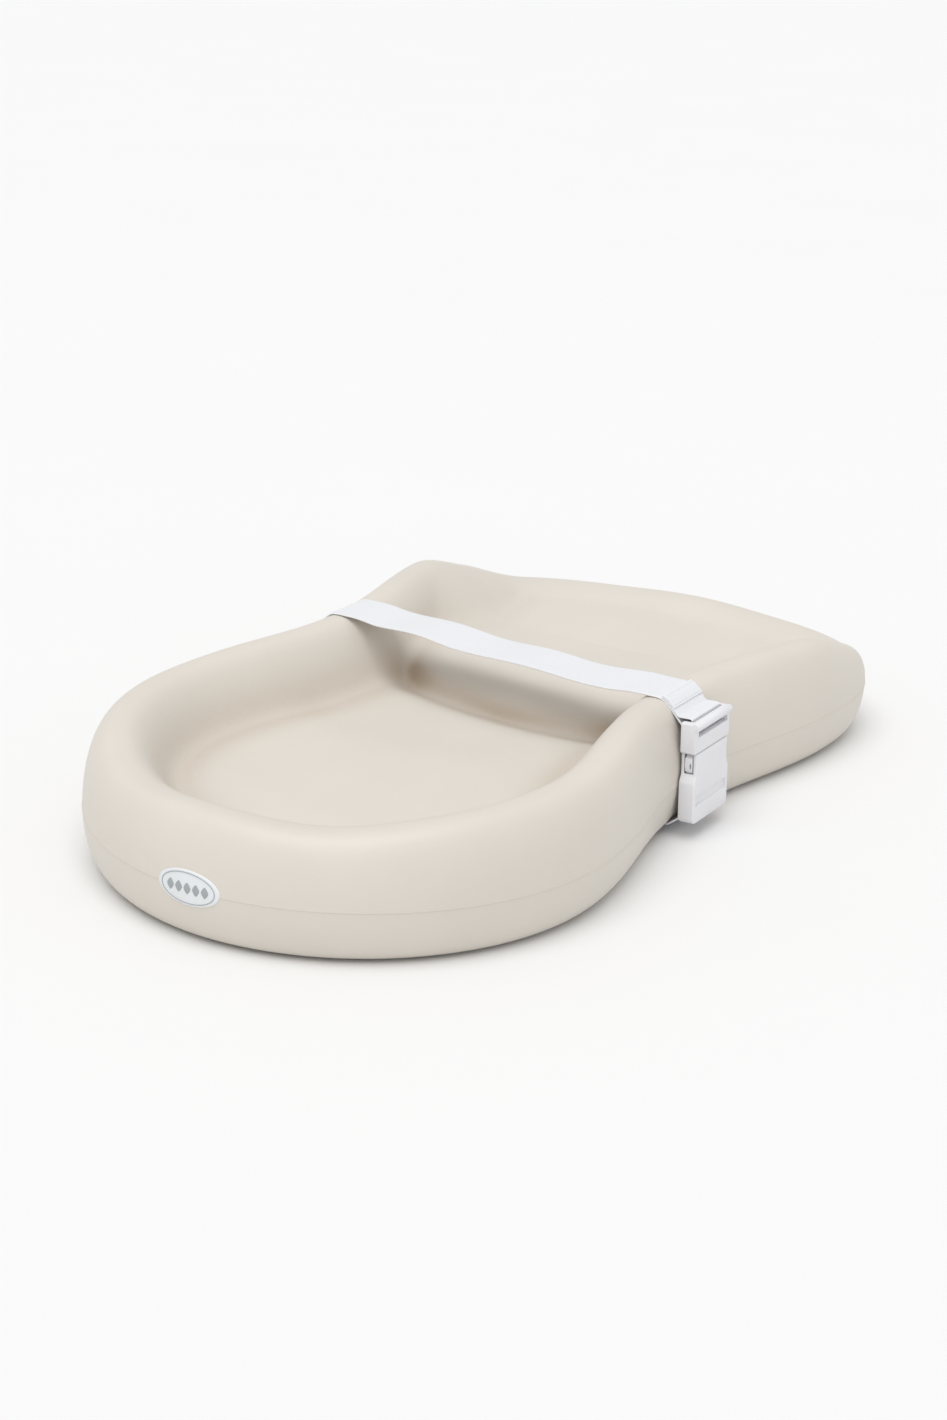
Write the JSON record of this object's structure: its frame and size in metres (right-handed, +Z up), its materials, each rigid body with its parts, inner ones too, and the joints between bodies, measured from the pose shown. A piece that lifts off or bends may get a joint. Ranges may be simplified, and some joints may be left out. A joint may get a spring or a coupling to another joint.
{
  "type": "changing pad",
  "caption": "Contoured baby changing pad: moulded foam with a raised rim round a head bowl and a higher, sloping seat, a webbing safety strap and a side-release buckle.",
  "frame": {"origin": "centre of the footprint on the plane that the feet stand on", "axes": "+X along the pad towards the shallow seat end, +Z up, -Y the side that the buckle hangs on"},
  "size_m": [0.813, 0.4324, 0.1159],
  "materials": {
    "foam": "satin integral-skin polyurethane",
    "webbing": "woven polypropylene webbing",
    "buckle_plastic": "smooth moulded acetal",
    "badge_plastic": "smooth",
    "badge_grey": "matt",
    "board": "birch plywood",
    "retainer_plastic": "matt moulded",
    "screw_steel": "zinc plated",
    "insert_brass": "machined",
    "foot_rubber": "matt"
  },
  "bodies": {
    "pad": {"foam_body": "foam", "badge_plate": "badge_plastic", "badge_ring": "badge_grey", "strap_far": "webbing", "strap_near": "webbing", "anchor_board_near": "board", "anchor_board_far": "board", "strap_retainer_near": "retainer_plastic", "strap_retainer_far": "retainer_plastic", "retainer_screws": "screw_steel", "threaded_inserts": "insert_brass", "foot_head_near": "foot_rubber", "foot_head_far": "foot_rubber", "foot_middle_near": "foot_rubber", "foot_middle_far": "foot_rubber", "foot_seat_near": "foot_rubber", "foot_seat_far": "foot_rubber", "buckle_socket": "buckle_plastic"},
    "plug": {"buckle_plug": "buckle_plastic", "strap_span": "webbing", "strap_tail": "webbing"},
    "left_prong": {"prong_left": "buckle_plastic"},
    "right_prong": {"prong_right": "buckle_plastic"}
  },
  "joints": [
    {"name": "plug_slide", "type": "slide", "parent": "pad", "child": "plug", "axis": [0, 0.0349, 0.9994], "range_m": [0, 0.045], "deforming": ["prong_left", "prong_right"]},
    {"name": "left_prong_press", "type": "hinge", "parent": "plug", "child": "left_prong", "pos_m": [-0.0035, -0.19172, 0.07421], "axis": [0, -0.9994, 0.0349], "range_deg": [0, 6], "stiffness_Nm_per_rad": 0.5},
    {"name": "right_prong_press", "type": "hinge", "parent": "plug", "child": "right_prong", "pos_m": [0.0275, -0.19172, 0.07421], "axis": [0, 0.9994, -0.0349], "range_deg": [0, 6], "stiffness_Nm_per_rad": 0.5}
  ],
  "couplings": [
    {"joint": "right_prong_press", "follows": "left_prong_press", "ratio": 1}
  ]
}
